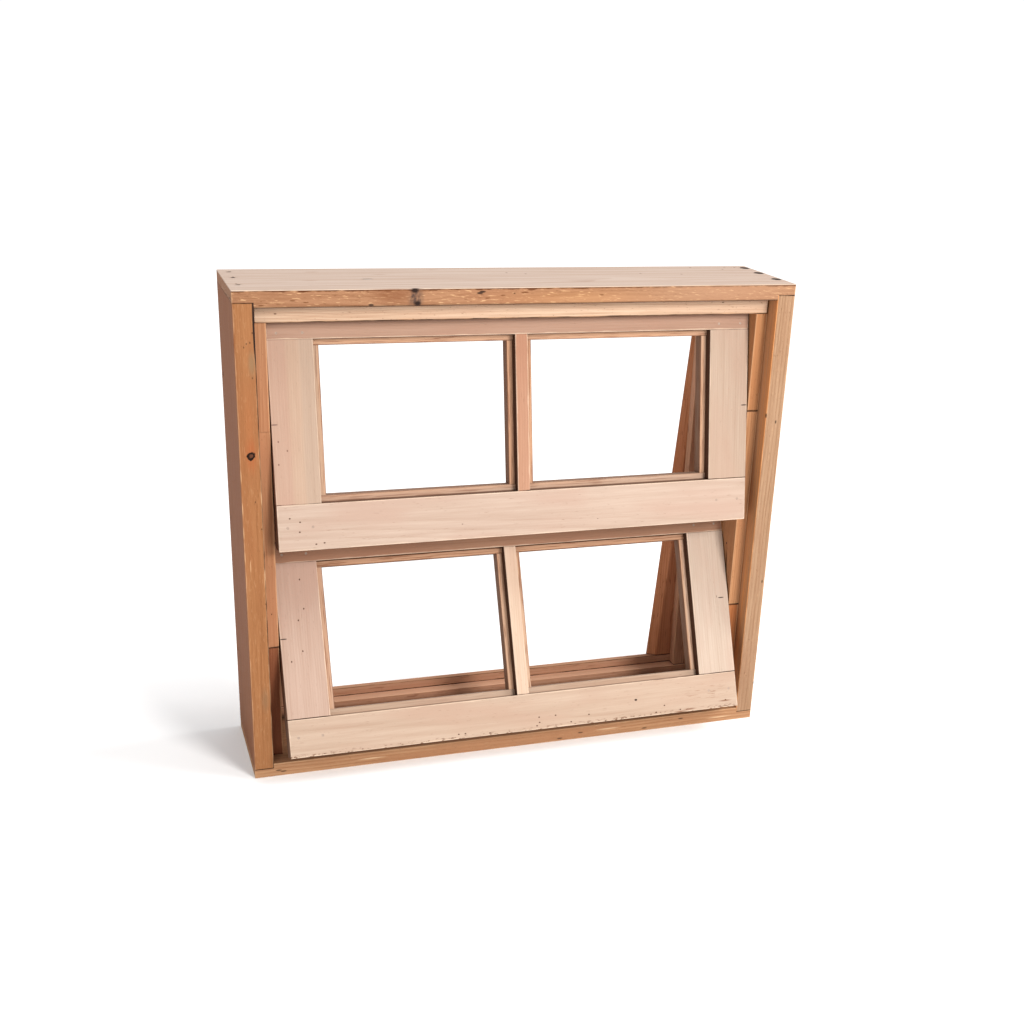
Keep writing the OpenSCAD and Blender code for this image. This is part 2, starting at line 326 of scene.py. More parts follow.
print("mid grey is", round(tone(128, 128, 128)[0], 3))

# %% [markdown]
# ## Which way the grain runs
#
# Wood grain follows the length of a board. Every board gets its own coordinates in
# millimetres: X along the grain, Y through the depth of the window, Z across the board.
# The boards of a sash lean with it, so their coordinates turn about the pivot first.

# %% Name the boards and the way each one runs
def body_of(name):
    return frame["nodes"][name]["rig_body"]


def is_fixing(name):
    return name.endswith(("nails", "brads", "pins"))


def is_upright(name):
    words = ("jamb", "left", "right", "stile", "bar")
    return any(word in name for word in words)


def board_turn(name):
    """The rotation from board coordinates to the model's."""
    lean = Matrix.Rotation(-sash_lean.get(body_of(name), 0.0), 3, "X")
    if is_upright(name):
        return lean @ Matrix.Rotation(math.radians(-90), 3, "Y")
    return lean


def board_middle(name):
    return sash_pivot.get(body_of(name), Vector((0, 0, 0)))


board_names = sorted(name for name in frame["nodes"] if not is_fixing(name))
print(len(board_names), "boards,", sum(map(is_upright, board_names)), "of them upright")


# %% Measure a board in its own coordinates
def spans_of(name):
    """Lowest and highest place of a board along, through and across, in mm."""
    turn_back = board_turn(name).transposed()
    middle = board_middle(name)
    corners = frame["nodes"][name].data.vertices
    places = [turn_back @ (v.co - middle) / MM for v in corners]
    return [(min(p[i] for p in places), max(p[i] for p in places)) for i in range(3)]


for name in ("head", "upper_stile_left"):
    print(name, [tuple(round(end, 1) for end in span) for span in spans_of(name)])

# %% [markdown]
# ## Places on a face
#
# Most marks sit on one of three faces: the front of the frame, its top, or the front of
# a sash. Each of these lies at one level, read from the model. So a mark needs only two
# numbers, and a small helper adds the third.

# %% Find the three faces that carry marks
FRAME_FRONT = round(spans_of("head")[1][0])
FRAME_TOP = round(spans_of("head")[2][1])
SASH_FRONT = round(spans_of("upper_stile_left")[1][0])
print("frame front", FRAME_FRONT, "frame top", FRAME_TOP, "sash front", SASH_FRONT)


def on_front(*spots):
    """Places on the front of the frame, each one along and across its board."""
    return [(along, FRAME_FRONT, across) for along, across in spots]


def on_top(*spots):
    """Places on the top of the head, each one along it and through its depth."""
    return [(along, depth, FRAME_TOP) for along, depth in spots]


def on_sash(*spots):
    """Places on the front of a sash, each one along and across its board."""
    return [(along, SASH_FRONT, across) for along, across in spots]


# %% [markdown]
# ## Growth rings and fibres
#
# A tree adds one pale and one dark layer each year, round its pith. A board is a flat
# cut through these tubes. So the distance from a pith line, divided by the width of a
# ring, gives the year, and its fraction gives the place in that year. Slow noise makes
# the tubes wander, and a knot pushes them aside. Fibres and streaks are noise stretched
# along the grain. The Mapping node of the Texture type does the turning: it takes the
# place, the rotation and the scale of the board's own coordinates.

# %% Grow the wood of one board
class Wood:
    """The look of one board while it is being mixed."""

    def __init__(self, name, shades, ring, pith, lean, contrast, knots=()):
        sheet = Sheet(name + "_timber")
        self.sheet = sheet
        self.name = name
        self.seed = 3.1 + 7.7 * board_names.index(name)
        self.spans = spans_of(name)
        values = {
            "Vector": sheet.node("ShaderNodeTexCoord", out="Object"),
            "Location": board_middle(name),
            "Rotation": board_turn(name).to_euler("XYZ"),
            "Scale": (MM, MM, MM),
        }
        mapping = sheet.node("ShaderNodeMapping", {"vector_type": "TEXTURE"}, values)
        self.place = mapping
        split = sheet.node("ShaderNodeSeparateXYZ", None, {0: mapping})
        self.along, self.depth, self.across = [
            Wire(sheet, socket) for socket in split.socket.node.outputs
        ]
        self.grow(shades, ring, pith, lean, knots, contrast)

    def middle(self, axis):
        low, high = self.spans[axis]
        return (low + high) / 2

    def noise(self, size, step=0.0, detail=2.0):
        return self.sheet.noise(self.place, size, self.seed + step, detail)

    def grow(self, shades, ring, pith, lean, knots, contrast):
        sheet = self.sheet
        wander = self.noise((300, 60, 60)) * 16 + self.noise((80, 10, 10), 3) * 1.6
        for centre in knots:
            wander = wander + sheet.patch(self.place, centre, (75, 40, 26), 0) * 9
        side = self.across - (self.middle(2) + pith[1]) + self.along * lean + wander
        back = self.depth - (self.middle(1) + pith[0])
        years = (side * side + back * back).root() / ring
        year = years.rest()
        late = sheet.soft(year, 0.3, 0.9) * sheet.soft(year, 1.0, 0.93)
        strength = sheet.node(
            "ShaderNodeTexWhiteNoise",
            {"noise_dimensions": "1D"},
            {"W": years.whole() + self.seed},
        )
        self.late = late * (strength * 0.8 + 0.2)
        self.fibre = self.noise((42, 1.1, 1.1), 7, 3)
        self.streak = self.noise((240, 6, 6), 11, 3)
        cloud = self.noise((150, 40, 40), 17)
        darkness = self.late * 0.5 + self.fibre * 1.3 + self.streak * 1.8
        darkness = darkness * contrast + 0.25
        pale, deep, blush = shades
        self.colour = sheet.mix(darkness, pale, deep)
        self.stain(sheet.soft(cloud, -0.05, 0.2) * 0.8, blush)
        self.rough = self.fibre * 0.25 + 0.66
        self.height = self.late * 0.04 + self.fibre * 0.14 + self.streak * 0.06

    def stain(self, share, colour):
        self.colour = self.sheet.mix(share, self.colour, colour)

    def face(self, value, level, inside):
        """1 on the face at this level, 0 below its rounded edge."""
        return self.sheet.soft(value, level + inside * 1.1, level + inside * 0.5)

    def finish(self):
        sheet = self.sheet
        sheet.shader.inputs["Specular IOR Level"].default_value = 0.06
        sheet.feed(sheet.shader.inputs["Base Color"], self.colour)
        sheet.feed(sheet.shader.inputs["Roughness"], self.rough)
        values = {"Strength": 1.0, "Distance": MM, "Height": self.height}
        bump = sheet.node("ShaderNodeBump", None, values)
        sheet.feed(sheet.shader.inputs["Normal"], bump)
        return sheet.material


# %% [markdown]
# ## Worn edges
#
# Hands, dust and years of knocks rub the corners of a board first. The shader needs to
# know how far a point is from the nearest edge. A board is a box, and on its surface
# the distance to one side is zero. So the middle one of the three distances is the
# distance to the nearest edge. A rebated sash bar is two boxes, one behind the other:
# the glass would sit in the step between them.

# %% Measure the distance to the nearest edge
REBATE = 8
STEP = -2
FAR = 200


def rebate_face(name, span):
    """Where the front box of a sash board ends: its lip is one rebate wider."""
    low, high = span
    inner_low = any(word in name for word in ("top_rail", "stile_left", "bar"))
    inner_high = any(word in name for word in ("bottom_rail", "stile_right", "bar"))
    return low + REBATE * inner_low, high - REBATE * inner_high


def edge_distance(wood, bare_ends):
    """Millimetres to the nearest edge of the board. Ends in a joint don't count."""
    (start, end), (front, back), (low, high) = wood.spans
    if not bare_ends:
        start, end = start - FAR, end + FAR
    if body_of(wood.name) != "frame":
        face_low, face_high = rebate_face(wood.name, (low, high))
        in_front = wood.depth.below(STEP - 0.05)
        beside = wood.across.above(face_low - 0.05) * wood.across.below(face_high + 0.05)
        front = beside * (front - STEP) + STEP
        low = in_front * (face_low - low) + low
        high = in_front * (face_high - high) + high
    along = (wood.along - start).least(end - wood.along)
    through = (wood.depth - front).least(back - wood.depth)
    across = (wood.across - low).least(high - wood.across)
    near = along.least(through)
    far = along.most(through)
    return near.most(far.least(across))


def wear(wood, colour, reach, share, bare_ends, where=1.0):
    """Rubbed edges: paler, and broken up by noise."""
    ragged = edge_distance(wood, bare_ends) + wood.noise((30, 7, 7), 23, 3) * 4
    wood.stain(wood.sheet.soft(ragged, reach, reach * 0.4) * where * share, colour)


# %% [markdown]
# ## Grime in the joints, and painted shade
#
# Dirt collects where two boards meet. A seam is a thin dark line at one level of the
# board, broken here and there. Shade is painted shade: a wider, soft darkening that fades
# away from a corner or edge, painted where the real shade falls.

# %% Darken the wood at a level
# Dark brown for dirt in the joints and for painted shade.
DIRT_AND_SHADE = tone(46, 26, 17)


def seam(wood, value, level, half, share, where=1.0):
    """A broken dark line at this level."""
    gap = (value - level).size()
    broken = wood.noise((24, 24, 24), 101, 2) * 3 + 1
    wood.stain(wood.sheet.soft(gap, half, half * 0.4) * broken * where * share, DIRT_AND_SHADE)


def shade(wood, value, level, reach, share, where=1.0, colour=DIRT_AND_SHADE):
    """Painted shade that fades away from this level."""
    gap = (value - level).size()
    fade = wood.sheet.soft(gap, reach, 0.0)
    wood.stain(fade * fade * where * share, colour)


# %% [markdown]
# ## Marks of use
#
# Old joinery is full of small stories: resin flecks, worm holes, pencil lines at the
# height of the pivots, dents and stains. Some are scattered all over, and noise or
# Voronoi cells place those. Others sit at one place, and a soft patch paints each one.

# %% Scatter flecks and holes, and paint single marks
PITCH = tone(70, 42, 28)


def flecks(wood, size, start, share, colour, where=1.0, step=31):
    """Short dashes wherever fine noise is strong."""
    dash = wood.sheet.soft(wood.noise(size, step, 1), start, start + 0.06)
    wood.stain(dash * where * share, colour)
    wood.height = wood.height - dash * where * 0.1


def holes(wood, cell, share, size):
    """Round dots, at most one in each Voronoi cell, and only in some cells."""
    sheet = wood.sheet
    vector = sheet.scaled(wood.place, cell, (wood.seed, 5.0, 5.0))
    values = {"Vector": vector, "Scale": 1.0, "Randomness": 1.0}
    away = sheet.node("ShaderNodeTexVoronoi", None, values)
    pick = sheet.node("ShaderNodeTexVoronoi", None, values, out="Color")
    luck = sheet.node("ShaderNodeSeparateColor", None, {0: pick})
    dot = sheet.soft(away, size, size * 0.6) * luck.below(share)
    wood.stain(dot * 0.85, PITCH)
    wood.height = wood.height - dot * 0.5


def marks(wood, places, reach, colour, share, edge=0.5):
    """The same mark at several places."""
    painted = 0.0
    for centre in places:
        spot = wood.sheet.patch(wood.place, centre, reach, edge)
        painted = spot.most(painted)
    wood.stain(painted * share, colour)


def knot(wood, centre, radius, core, halo, halo_reach):
    """A branch cut across: a warm halo, a dark broken rim and a ringed core."""
    sheet = wood.sheet
    warm = sheet.patch(wood.place, centre, halo_reach, 0.0)
    wood.stain(warm * (wood.fibre * 3 + 0.9), halo)
    shift = {"operation": "SUBTRACT"}
    moved = sheet.node("ShaderNodeVectorMath", shift, {0: wood.place, 1: centre})
    length = {"operation": "LENGTH"}
    away = sheet.node("ShaderNodeVectorMath", length, {0: moved}, 1)
    away = away + wood.noise((5, 5, 5), 41, 3) * 6
    inside = sheet.soft(away, radius, radius * 0.8)
    rings = (away / 1.3).rest()
    wood.stain(inside * (rings * 0.4 + 0.6), core)
    crack = sheet.soft(wood.noise((6, 6, 6), 47, 2), -0.2, -0.05)
    crack = crack * inside * sheet.soft(away, radius * 0.3, radius * 0.6)
    wood.stain(crack, tone(24, 14, 10))
    wood.height = wood.height - crack * 0.6


# %% [markdown]
# ## Sawn faces
#
# The outside faces of the frame were never planed. A coarse saw tears the fibres: it
# leaves slanting light tufts, dark nicks and a rough surface. Slanted noise, stretched
# along the tear, gives all three at once.

# %% Tear the fibres of a sawn face
def sawn(wood, where, light, dark, slant, share):
    """Light tufts and dark nicks along slanted tears."""
    sheet = wood.sheet
    skew = {0: wood.along + wood.across * slant, 1: wood.depth, 2: wood.across}
    slanted = sheet.node("ShaderNodeCombineXYZ", None, skew)
    torn = sheet.noise(slanted, (9, 30, 1.5), wood.seed + 53, 3)
    wood.stain(sheet.soft(torn, 0.08, 0.2) * where * share, light)
    wood.stain(sheet.soft(torn, -0.12, -0.24) * where * share, dark)
    wood.height = wood.height + torn * where * 0.5


# %% [markdown]
# ## Shades of timber
#
# Each board was cut from another plank, so each has a tone of its own. Three shades are
# mixed from that tone: the pale early wood, the deep late wood, and a blush where the
# plank is a little redder.

# %% Mix three shades from one tone
def shades(red, green, blue):
    """Early wood, late wood and blush of a plank with this tone."""
    middle = tone(red, green, blue)
    shift = ((1.05, 1.06, 1.07), (0.71, 0.62, 0.56), (0.92, 0.84, 0.82))
    return [tuple(m * s for m, s in zip(middle, part)) + (1.0,) for part in shift]


def deeper(red, green, blue, amount=0.6):
    """A darker shade of a picker colour."""
    return tuple(part * amount for part in tone(red, green, blue)[:3]) + (1.0,)


print("early wood", [round(part, 2) for part in shades(170, 150, 130)[0][:3]])

# %% [markdown]
# ## Dress the sashes
#
# The sashes are made of pale planed softwood. It was cut so that the rings stand almost
# upright on the face of the stiles, which gives fine straight lines. The broad bottom
# rails are cut flatter and show gentle arches. The rebates are darker, where dust and old
# putty oil stayed, and the walls of their steps carry painted shade. So do the upper
# edge of each top rail's front and the outer edges of each sash.

# %% Tones of the sash boards
# The two top rails get darker tones than the other sash boards: partly painted shade from what
# overhangs them.
sash_tones = {
    "upper_top_rail": (156, 126, 108),
    "upper_bottom_rail": (171, 150, 135),
    "upper_stile_left": (165, 140, 122),
    "upper_stile_right": (166, 145, 128),
    "upper_glazing_bar": (163, 123, 100),
    "lower_top_rail": (150, 114, 92),
    "lower_bottom_rail": (170, 148, 130),
    "lower_stile_left": (170, 145, 130),
    "lower_stile_right": (176, 158, 143),
    "lower_glazing_bar": (190, 166, 146),
}
PENCIL = tone(58, 46, 42)
SOOT_DOT = tone(40, 28, 24)
sash_spots = {
    "upper_stile_left": on_sash((-20, 302), (-31, 292), (-47, 303)),
    "lower_stile_left": on_sash((71, 278), (20, 284), (34, 276), (-19, 282), (-31, 297)),
    "upper_bottom_rail": on_sash((-294, -112), (-282, -117), (-283, -129), (-264, -145),
                                 (-254, -144)),
    "lower_bottom_rail": on_sash((158, -128), (19, -136), (19, -143), (15, -147),
                                 (-50, -149), (-83, -146), (-92, -146), (42, -136),
                                 (89, -140), (63, -147), (199, -140), (291, -142),
                                 (222, -148), (186, -148)),
}
pencil_lines = {
    "upper_stile_left": on_sash((0, 305.5)),
    "upper_stile_right": on_sash((0, -304.5)),
    "lower_stile_left": on_sash((-2, 304.5)),
    "lower_stile_right": on_sash((0, -298)),
}


# %% Dirt and painted shade on a sash board
def rebate_oil_and_shade(wood):
    """Putty oil on the rebates that glass and putty once covered, and painted shade on their
    walls.
    """
    sheet = wood.sheet
    low, high = wood.spans[2]
    face_low, face_high = rebate_face(wood.name, (low, high))
    behind = sheet.soft(wood.depth, SASH_FRONT + 0.6, SASH_FRONT + 1.2)
    oil = {"upper_bottom_rail": 0.45, "lower_bottom_rail": 0.15}.get(wood.name, 0.7)
    wood.stain(behind * (wood.streak * 2 + 1) * oil, tone(184, 142, 112))
    wood.stain(behind * sheet.soft(wood.fibre, 0.03, 0.14) * oil, tone(112, 66, 44))
    in_step = behind * sheet.soft(wood.depth, STEP + 0.3, STEP)
    for level, lip in ((face_low, low), (face_high, high)):
        if level != lip:
            # The wall of each step gets painted shade, darker where there is more putty oil.
            wall_shade = sheet.soft((wood.across - level).size(), 1.2, 0.5) * in_step
            wood.stain(wall_shade * (oil + 0.25), tone(66, 40, 27))
            rim = sheet.soft((wood.across - lip).size(), 1.1, 0.5)
            wood.stain(rim * behind * oil, tone(92, 58, 40))


def sash_levels(name):
    """Where the stiles of this sash meet its rails, measured up the sash."""
    sash = name.split("_")[0]
    bottom = rebate_face(sash + "_bottom_rail", spans_of(sash + "_bottom_rail")[2])[1]
    top = rebate_face(sash + "_top_rail", spans_of(sash + "_top_rail")[2])[0]
    return bottom, top


def joint_dirt_and_shade(wood):
    """Seams where boards meet, painted shade below a top rail's upper edge, and painted shade on
    the outer edges of the sash.
    """
    bottom, top = sash_levels(wood.name)
    edge = spans_of("upper_top_rail")[0][1]
    if is_upright(wood.name):
        seam(wood, wood.along, bottom, 1.6, 1.0)
        seam(wood, wood.along, top, 0.9, 0.5)
        sideways = wood.across
    else:
        sideways = wood.along
        if wood.name.endswith("top_rail"):
            # Painted shade along the top of a top rail's front, below what overhangs it.
            front = wood.sheet.soft(wood.depth, SASH_FRONT + 1.4, SASH_FRONT + 0.6)
            shade(wood, wood.across, wood.spans[2][1], 9, 0.9, front, tone(66, 38, 25))
    # Painted shade on the outer edge faces of the sash, which lie in the gap beside the stops.
    outer_edge_shade = wood.sheet.soft(sideways.size(), edge - 0.9, edge - 0.2)
    wood.stain(outer_edge_shade * 0.75, tone(74, 44, 30))


print("stile joints of the upper sash at", [round(v) for v in sash_levels("upper_")])


# %% Mix the wood of a sash board
def dress_sash_board(name):
    broad = name.endswith("bottom_rail")
    pith = (70, 12) if broad else (-45, 62 if "left" in name else -58)
    wood = Wood(name, shades(*sash_tones[name]), ring=4.2 if broad else 3.0,
                pith=pith, lean=0.06 if broad else 0.012, contrast=0.42)
    flecks(wood, (9, 0.8, 0.8), 0.22, 0.4, deeper(150, 104, 76))
    holes(wood, (46, 22, 22), 0.3, 0.03)
    rebate_oil_and_shade(wood)
    front = wood.sheet.soft(wood.depth, SASH_FRONT + 1.1, SASH_FRONT + 0.7)
    wear(wood, tone(206, 182, 160), 1.5, 0.5, "rail" in name, front)
    joint_dirt_and_shade(wood)
    if name in sash_spots:
        marks(wood, sash_spots[name], (1.6, 2, 1.2), PITCH, 0.9)
    if name in pencil_lines:
        marks(wood, pencil_lines[name], (0.9, 1, 5), PENCIL, 0.95, 0.7)
    return wood


# %% Marks of single sash boards
def band(wood, low, high, blur):
    """1 between two places across the board."""
    sheet = wood.sheet
    wavy = wood.across + wood.noise((200, 30, 30), 61) * 6
    return sheet.soft(wavy, low - blur, low) * sheet.soft(wavy, high + blur, high)


def dress_upper_stile_left(wood):
    """Three bands along the grain that differ a little in colour."""
    wood.stain(band(wood, 252, 270, 5) * 0.4, tone(158, 139, 122))
    wood.stain(band(wood, 274, 286, 6) * 0.3, tone(176, 150, 128))
    wood.stain(band(wood, 292, 312, 8) * 0.3, tone(170, 134, 118))


def dress_lower_stile_right(wood):
    marks(wood, on_sash((2, -291.5)), (2.2, 1, 0.6), PENCIL, 0.7)


def dress_lower_bottom_rail(wood):
    curl = wood.sheet.patch(wood.place, (262, SASH_FRONT, -128), (50, 8, 16), 0.1)
    flecks(wood, (16, 1.4, 1.4), 0.1, 0.6, deeper(150, 96, 60), curl, step=71)
    marks(wood, on_sash((236, -149), (222, -151), (290, -143)), (13, 4, 1.8),
          deeper(130, 78, 48), 0.75, 0.1)
    marks(wood, on_sash((158, -128)), (2.6, 3, 1.8), SOOT_DOT, 0.95)
    lip = [(along, SASH_FRONT + 1, -103.6) for along in (195, 214, 236)]
    marks(wood, lip, (14, 3, 1.2), deeper(120, 66, 38), 0.85, 0.3)
    foot = wood.spans[2][0]
    chipped = wood.sheet.soft(wood.across, foot + 6, foot + 1)
    flecks(wood, (5, 2, 1.4), 0.1, 0.8, deeper(112, 68, 40), chipped, step=83)


extras = {
    "upper_stile_left": dress_upper_stile_left,
    "lower_stile_right": dress_lower_stile_right,
    "lower_bottom_rail": dress_lower_bottom_rail,
}

# %% [markdown]
# ## Dress the frame
#
# The frame is tan softwood, sawn on the outside and planed inside. Its head has been
# handled and dusted until it turned pale and pinkish. The front of the head carries a
# grey knot with reddish wood beside it. The left jamb has a small black knot in a warm
# orange halo.

# %% Tones of the frame boards
frame_tones = {
    "head_stop": (186, 158, 134),
    "head": (145, 105, 77),
    "sill": (162, 122, 90),
    "jamb_left": (143, 97, 62),
    "jamb_right": (151, 120, 94),
    # The lowest left stop gets a dark tone: painted shade in the recess beside the lower sash.
    "stop_left_bottom": (122, 74, 50),
    "stop_left": (162, 116, 84),
    "stop_right_top": (166, 118, 80),
    "stop_right_middle": (168, 122, 86),
    "stop_right_bottom": (168, 108, 68),
    "lining_right": (194, 132, 95),
    "lining": (186, 142, 114),
    "batten": (188, 144, 116),
}
TUFT = tone(196, 156, 116)
NICK = deeper(116, 66, 36)
SOOT = tone(38, 26, 22)
KNOT_GREY = tone(72, 56, 50)


def frame_tone(name):
    for word, colour in frame_tones.items():
        if name.startswith(word):
            return colour
    raise KeyError(name)


knots_in = {
    "head": on_front((-143, 604)),
    "jamb_left": on_front((424, 336)),
}


# %% Mix the wood of a frame board
# The left stops are pressed together above this height, so their cut hardly shows.
TIGHT_CUTS = 400


def dress_frame_board(name):
    outside = name in ("head", "sill", "jamb_left", "jamb_right")
    wood = Wood(name, shades(*frame_tone(name)), ring=3.6,
                pith=(-30, 45 if "left" in name else -45), lean=0.015,
                contrast=1.0, knots=knots_in.get(name, ()))
    front = wood.face(wood.depth, wood.spans[1][0], 1)
    flecks(wood, (5, 0.9, 0.9), 0.2, 0.6, deeper(120, 74, 44))
    holes(wood, (38, 16, 16), 0.4, 0.045)
    if name == "head":
        sawn(wood, front, TUFT, NICK, 1.6, 0.6)
    elif outside:
        sawn(wood, front, TUFT, NICK, 0.1, 0.14)
    rubbed = tone(190, 150, 114) if outside else tone(186, 142, 106)
    wear(wood, rubbed, 1.7, 0.55, name in ("head", "sill"))
    if name.startswith(("stop", "jamb", "lining", "batten")):
        for level in wood.spans[0]:
            tight = name.startswith("stop_left") and level > TIGHT_CUTS
            seam(wood, wood.along, level, 1.6, 0.1 if tight else 0.9)
    if name.startswith("jamb"):
        inner = min(wood.spans[2], key=abs)
        seam(wood, wood.across, inner, 1.5, 0.7, front)
    if name.startswith(("lining", "batten")):
        # The front faces of the linings and battens are painted darker: painted shade inside the
        # frame.
        wood.stain(front * 0.3, tone(90, 50, 33))
        flecks(wood, (26, 3, 3), 0.15, 0.4, tone(96, 56, 40), step=61)
    return wood, front


# %% The head: a dusty top, a torn edge and a grey knot
def dress_head(wood, front):
    sheet = wood.sheet
    top = wood.face(wood.across, FRAME_TOP, -1)
    wood.stain(top * (wood.streak * 1.2 + wood.late * -0.2 + 0.9), tone(186, 167, 154))
    ragged = wood.across + wood.noise((11, 6, 6), 91, 3) * 5
    torn = sheet.soft(ragged, FRAME_TOP - 2.6, FRAME_TOP - 1.2)
    wood.stain(torn * front * 0.95, deeper(104, 58, 34))
    wavy = wood.depth + wood.noise((20, 5, 5), 93) * 3
    rim = sheet.soft(wavy, FRAME_FRONT + 2.0, FRAME_FRONT + 0.5)
    upper = sheet.soft(wood.across, FRAME_TOP - 1.0, FRAME_TOP - 0.4)
    wood.stain(rim * upper * 0.8, tone(206, 186, 166))
    marks(wood, on_front((-168, 606)), (34, 4, 15), deeper(128, 78, 50, 0.75), 0.6, 0.2)
    marks(wood, on_front((60, 600)), (160, 4, 14), tone(176, 130, 88), 0.3, 0.0)
    marks(wood, on_front((240, 603)), (200, 4, 24), tone(164, 130, 104), 0.45, 0.0)
    smudge = sheet.patch(wood.place, (-142, FRAME_FRONT, 603), (12, 5, 22), 0.0)
    wood.stain(smudge * (wood.noise((5, 5, 8), 97, 3) * 4 + 0.8), KNOT_GREY)
    # Painted shade along the lower edge of the head's front, above the head stop.
    shade(wood, wood.across, wood.spans[2][0], 3.4, 1.0, front)
    marks(wood, on_front((-143, 611), (-140, 596)), (6, 3, 4), SOOT, 1.0, 0.3)
    marks(wood, on_front((-194, 595)), (4, 3, 2), SOOT, 0.8)
    marks(wood, on_front((-65, 607), (-62, 608.5)), (5, 3, 1.6), SOOT, 0.9)
    marks(wood, on_front((-10, 607), (-2, 610)), (6, 3, 1.2), NICK, 0.8)
    nicks = on_front((-318, 596), (-268, 599), (-283, 601), (-37, 604), (-56, 601), (87, 603))
    marks(wood, nicks, (4, 3, 0.9), NICK, 0.8)
    marks(wood, on_top((-184, -6)), (9, 2.4, 2), SOOT, 0.95)
    marks(wood, on_top((-184, -9)), (7, 1.6, 2), tone(206, 194, 184), 0.8)
    specks = on_top((-337, 18), (-339, -30), (0, 33), (22, 23), (175, 18), (229, 10),
                    (265, 63), (316, 65), (304, 45), (329, 61))
    marks(wood, specks, (1.8, 2.6, 2), PITCH, 0.6)
    pale = on_top((-241, 50), (-253, -14), (-163, 26), (-90, 60))
    marks(wood, pale, (14, 4, 2), tone(150, 118, 98), 0.5, 0.0)
    end = wood.spans[0][0]
    cracks = [(end, 20, 597), (end, -25, 600), (end, -60, 602)]
    marks(wood, cracks, (3, 12, 1.1), SOOT, 0.7)


# %% The left jamb: a black knot, a dark line at its inner edge and painted shade on its side
def dress_jamb_left(wood, front):
    sheet = wood.sheet
    side = wood.face(wood.across, wood.spans[2][1], -1)
    # The outer side is painted darker than the front: painted shade on the side turned away from
    # the lamps.
    wood.stain(side * (wood.streak * 0.8 + 0.75), tone(124, 76, 50))
    old_edge = sheet.soft(wood.depth, FRAME_FRONT + 16, FRAME_FRONT + 2)
    wood.stain(side * old_edge * 0.12, tone(140, 108, 84))
    marks(wood, on_front((531, 331)), (22, 3, 6), tone(122, 104, 78), 0.55, 0.1)
    marks(wood, on_front((109, 333)), (24, 3, 7), tone(112, 92, 70), 0.4, 0.1)
    marks(wood, on_front((458, 337)), (60, 8, 8), tone(156, 96, 58), 0.35, 0.0)
    centre = knots_in["jamb_left"][0]
    knot(wood, centre, 5.6, tone(52, 34, 27), tone(146, 84, 50), (30, 11, 10))
    worm_holes = on_front((566, 329), (555, 332), (554, 336), (550, 339), (515, 331),
                          (368, 334), (334, 328), (238, 327))
    marks(wood, worm_holes, (1.6, 2, 0.9), PITCH, 0.75)
    marks(wood, on_front((541, 325.6), (537, 325.4), (499, 326)), (5, 4, 1.4), SOOT, 0.9)
    # A dark line along the upper part of the inner edge of the front.
    dark_inner_edge = [(572, FRAME_FRONT + 4, 325.6)]
    marks(wood, dark_inner_edge, (58, 16, 3.4), SOOT, 1.0, 0.7)
    rubs = on_front((372, 327), (245, 325.8), (275, 326.4), (288, 343), (300, 349),
                    (360, 349), (400, 349), (330, 349))
    marks(wood, rubs, (10, 2, 0.7), tone(206, 166, 126), 0.45)


# %% The right jamb: a warm inner face, with painted shade next to the stop
def dress_jamb_right(wood, front):
    inner = wood.face(wood.across, wood.spans[2][1], -1)
    wood.stain(inner * (wood.streak * 2 + 0.7), tone(192, 130, 82))
    # Painted shade on the inner face, fading away from the front of the stop.
    shade(wood, wood.depth, spans_of("stop_right_top")[1][0], 6, 0.35, inner)
    marks(wood, on_front((55, -349.5), (435, -341), (210, -346)), (3, 3, 1.4), SOOT, 0.8)
    marks(wood, on_front((444, -326)), (4, 3, 1.6), SOOT, 0.8)


# %% The boards at the foot: dents, dark lines, and painted light and shade
def dress_sill(wood, front):
    dents = on_front((-320, 8), (-314, 6), (60, 4), (185, 4), (90, 9), (240, 12))
    marks(wood, dents, (5, 3, 1.4), SOOT, 0.7)
    marks(wood, on_front((-200, 9), (130, 10), (300, 7)), (24, 3, 1.6),
          tone(206, 176, 142), 0.6, 0.2)
    inside = wood.face(wood.across, wood.spans[2][1], -1)
    # Painted shade on the top of the sill, deepest by the batten.
    shade(wood, wood.depth, spans_of("batten_bottom")[1][0], 26, 0.85, inside)


def dress_lining_bottom(wood, front):
    seam(wood, wood.across, wood.spans[2][1], 0.9, 0.6, front)
    seam(wood, wood.across, spans_of("batten_bottom")[2][1], 1.6, 0.9, front)


def dress_batten_bottom(wood, front):
    top = wood.face(wood.across, wood.spans[2][1], -1)
    # Painted light: the top face is made paler, as if lit from above.
    wood.stain(top * 0.7, tone(206, 162, 134))
    # Painted shade on the front, darkest at the foot of the batten.
    shade(wood, wood.across, wood.spans[2][0], 15, 0.75, front)


# %% The head stop: painted shade above and a painted shadow line below
def dress_head_stop(wood, front):
    # Painted shade at the top of the head stop, under the head.
    shade(wood, wood.across, wood.spans[2][1], 4.5, 1.0)
    # A painted shadow line along the lower edge of the front, above the sash.
    seam(wood, wood.across, wood.spans[2][0], 1.4, 0.7, front)
    face = wood.spans[1][0]
    marks(wood, [(-300, face, 583), (260, face, 588)], (2.2, 2, 1), PITCH, 0.8)


extras.update({
    "head_stop": dress_head_stop,
    "head": dress_head,
    "jamb_left": dress_jamb_left,
    "jamb_right": dress_jamb_right,
    "sill": dress_sill,
    "lining_bottom": dress_lining_bottom,
    "batten_bottom": dress_batten_bottom,
})
print("boards with marks of their own:", ", ".join(sorted(extras)))

# %% [markdown]
# ## Stains round the nails
#
# Iron and damp timber make a blue black stain. It creeps along the grain, so each nail
# head gets a patch that is longer than it is wide. The places are read from the model:
# corners of the nails that reach the top of the frame are sorted, and a gap between
# two of them parts one nail from the next. The nails on the right bled the most.

# %% Find the nails in the head
BETWEEN_NAILS = 5


